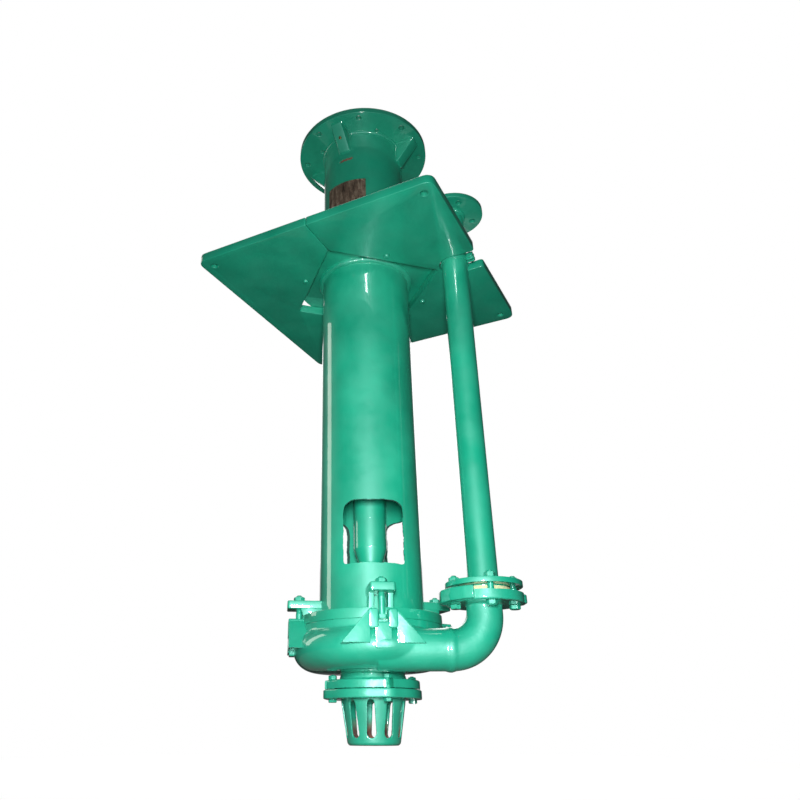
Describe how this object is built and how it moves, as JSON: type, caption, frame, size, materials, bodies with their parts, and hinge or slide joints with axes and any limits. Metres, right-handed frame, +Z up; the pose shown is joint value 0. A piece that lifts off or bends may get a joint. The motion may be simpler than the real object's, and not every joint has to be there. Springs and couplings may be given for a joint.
{
  "type": "vertical slurry pump",
  "caption": "Vertical cantilever slurry sump pump: motor stand, split mounting plate, windowed column, bolted volute casing, side riser and slotted strainer.",
  "frame": {"origin": "on the pump's axis, in the plane of the mounting plate's underside, which rests on the sump's frame", "axes": "+Z up along the shaft, towards the motor stand; +X from the shaft to the riser"},
  "size_m": [0.788, 0.765, 1.8891],
  "materials": {
    "green_paint": "gloss",
    "green_casting": "satin, over an as-cast surface",
    "nameplate_metal": "weathered brown",
    "brass": "bright",
    "machined_steel": "turned",
    "bearing_steel": "ground",
    "wear_alloy": "as cast, turned on its fits",
    "rubber": "matt",
    "gasket": "matt fibre"
  },
  "bodies": {
    "pump": {"mounting_plate_left": "green_paint", "mounting_plate_right": "green_paint", "column": "green_paint", "motor_stand": "green_paint", "motor_flange": "green_paint", "discharge_pipe": "green_paint", "riser_clip": "green_paint", "riser_clip_bolt": "green_paint", "riser_clip_nut": "green_paint", "clamp_bolt_1": "green_paint", "clamp_bolt_2": "green_paint", "clamp_bolt_3": "green_paint", "clamp_bolt_4": "green_paint", "clamp_nut_1": "green_paint", "clamp_nut_2": "green_paint", "clamp_nut_3": "green_paint", "clamp_nut_4": "green_paint", "discharge_bolt_1": "green_paint", "discharge_bolt_2": "green_paint", "discharge_bolt_3": "green_paint", "discharge_bolt_4": "green_paint", "discharge_nut_1": "green_paint", "discharge_nut_2": "green_paint", "discharge_nut_3": "green_paint", "discharge_nut_4": "green_paint", "suction_bolt_1": "green_paint", "suction_bolt_2": "green_paint", "suction_bolt_3": "green_paint", "suction_bolt_4": "green_paint", "suction_nut_1": "green_paint", "suction_nut_2": "green_paint", "suction_nut_3": "green_paint", "suction_nut_4": "green_paint", "column_bolt_1": "green_paint", "column_bolt_2": "green_paint", "column_bolt_3": "green_paint", "column_bolt_4": "green_paint", "bearing_housing": "green_paint", "upper_bearing_cover": "green_paint", "lower_bearing_cover": "green_paint", "pump_casing": "green_casting", "strainer": "green_casting", "nameplate": "nameplate_metal", "earth_screw": "brass", "upper_bearing_outer": "bearing_steel", "lower_bearing_outer": "bearing_steel", "back_liner": "wear_alloy", "throat_bush": "wear_alloy", "upper_seal": "rubber", "lower_seal": "rubber", "discharge_gasket": "gasket", "casing_gasket": "gasket", "suction_gasket": "gasket"},
    "rotor": {"shaft": "machined_steel", "upper_bearing_inner": "bearing_steel", "lower_bearing_inner": "bearing_steel", "bearing_locknut": "machined_steel", "coupling_half": "machined_steel", "shaft_sleeve": "wear_alloy", "impeller": "wear_alloy"}
  },
  "joints": [
    {"name": "rotor_spin", "type": "hinge", "parent": "pump", "child": "rotor", "pos_m": [0, 0, 0], "axis": [0, 0, 1], "continuous": true}
  ]
}
